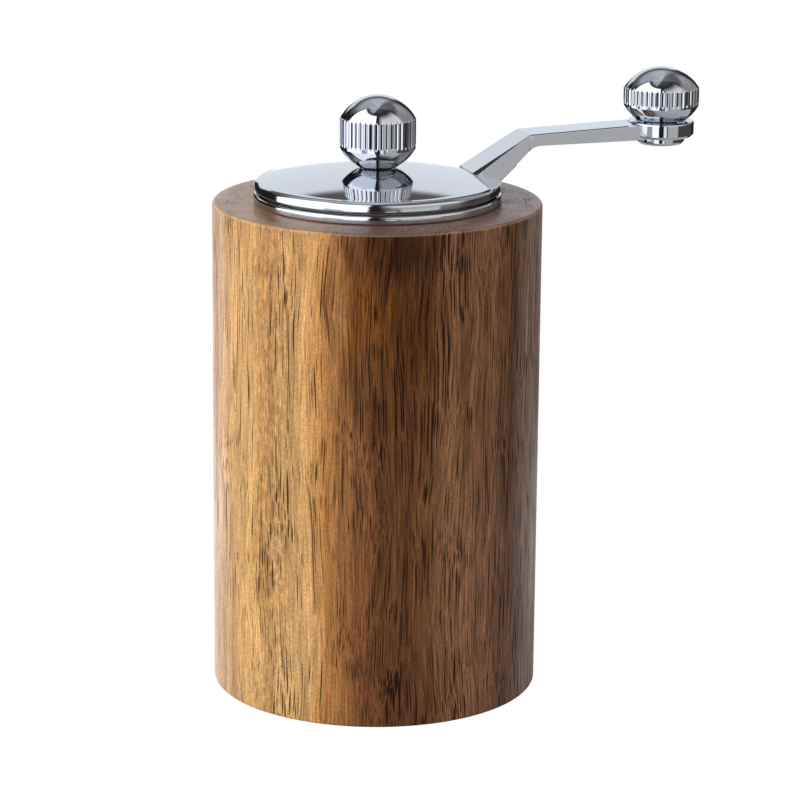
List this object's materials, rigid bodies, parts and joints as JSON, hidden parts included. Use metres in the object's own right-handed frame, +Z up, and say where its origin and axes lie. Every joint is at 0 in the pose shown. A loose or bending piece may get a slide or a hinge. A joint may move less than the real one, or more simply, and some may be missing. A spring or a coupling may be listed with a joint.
{
  "type": "burr coffee grinder",
  "caption": "Hand-cranked burr coffee grinder: turned wooden barrel, domed metal cover cast with a bent crank arm, reeded handle and adjuster knobs, conical burrs, pull-out grounds cup.",
  "frame": {"origin": "centre of the barrel's flat base, on the surface that it stands on", "axes": "+Z up along the spindle, +X along the crank arm at rest"},
  "size_m": [0.0922, 0.06, 0.1129],
  "materials": {
    "acacia": "turned, sanded and oiled acacia, satin",
    "chrome_plate": "polished and chrome plated zinc casting",
    "steel": "turned or stamped steel",
    "spring_steel": "drawn spring wire",
    "cup_steel": "drawn stainless steel, satin",
    "burr_steel": "hardened and blackened steel",
    "bronze": "sintered bronze",
    "brass": "turned brass",
    "black_nylon": "moulded glass-filled nylon",
    "white_acetal": "turned acetal",
    "silicone": "moulded silicone"
  },
  "bodies": {
    "mill_body": {"wood_barrel": "acacia", "bezel_ring": "chrome_plate", "top_bridge": "steel", "bridge_screws": "steel", "top_bush": "bronze", "burr_housing": "black_nylon", "housing_screws": "steel", "spindle_carrier": "black_nylon", "spindle_guide": "white_acetal", "ring_burr": "burr_steel", "burr_retainer": "steel", "retainer_screws": "steel", "burr_spring": "spring_steel"},
    "drive": {"drive_sleeve": "steel", "sleeve_clip": "steel"},
    "spindle_set": {"spindle": "steel", "cone_burr": "burr_steel", "spring_seat": "steel", "burr_washer": "steel", "burr_nut": "steel"},
    "crank": {"crank_cover": "chrome_plate", "drive_hub": "steel", "hub_screws": "steel", "glide_ring": "white_acetal", "handle_pin": "chrome_plate", "pin_washer": "steel", "pin_clip": "steel"},
    "handle": {"handle_knob": "chrome_plate", "handle_bush": "white_acetal"},
    "adjuster": {"adjuster_knob": "chrome_plate", "knob_insert": "brass"},
    "cup": {"grounds_cup": "cup_steel", "cup_grip_ring": "silicone", "cup_pull": "acacia", "pull_screw": "steel"}
  },
  "joints": [
    {"name": "crank_turn", "type": "hinge", "parent": "mill_body", "child": "drive", "pos_m": [0, 0, 0.0878], "axis": [0, 0, 1], "continuous": true},
    {"name": "cover_lift", "type": "slide", "parent": "drive", "child": "crank", "axis": [0, 0, 1], "range_m": [0, 0.03]},
    {"name": "adjuster_turn", "type": "hinge", "parent": "crank", "child": "adjuster", "pos_m": [0, 0, 0.097], "axis": [0, 0, 1], "range_deg": [0, 720]},
    {"name": "spindle_travel", "type": "slide", "parent": "drive", "child": "spindle_set", "axis": [0, 0, -1], "range_m": [0, 0.0016], "deforming": ["burr_spring"]},
    {"name": "handle_spin", "type": "hinge", "parent": "crank", "child": "handle", "pos_m": [0.0552, 0, 0.1034], "axis": [0, 0, 1], "continuous": true},
    {"name": "cup_pull_out", "type": "slide", "parent": "mill_body", "child": "cup", "axis": [0, 0, -1], "range_m": [0, 0.036]}
  ],
  "couplings": [
    {"joint": "adjuster_turn", "follows": "spindle_travel", "rad_per_m": 7854}
  ]
}
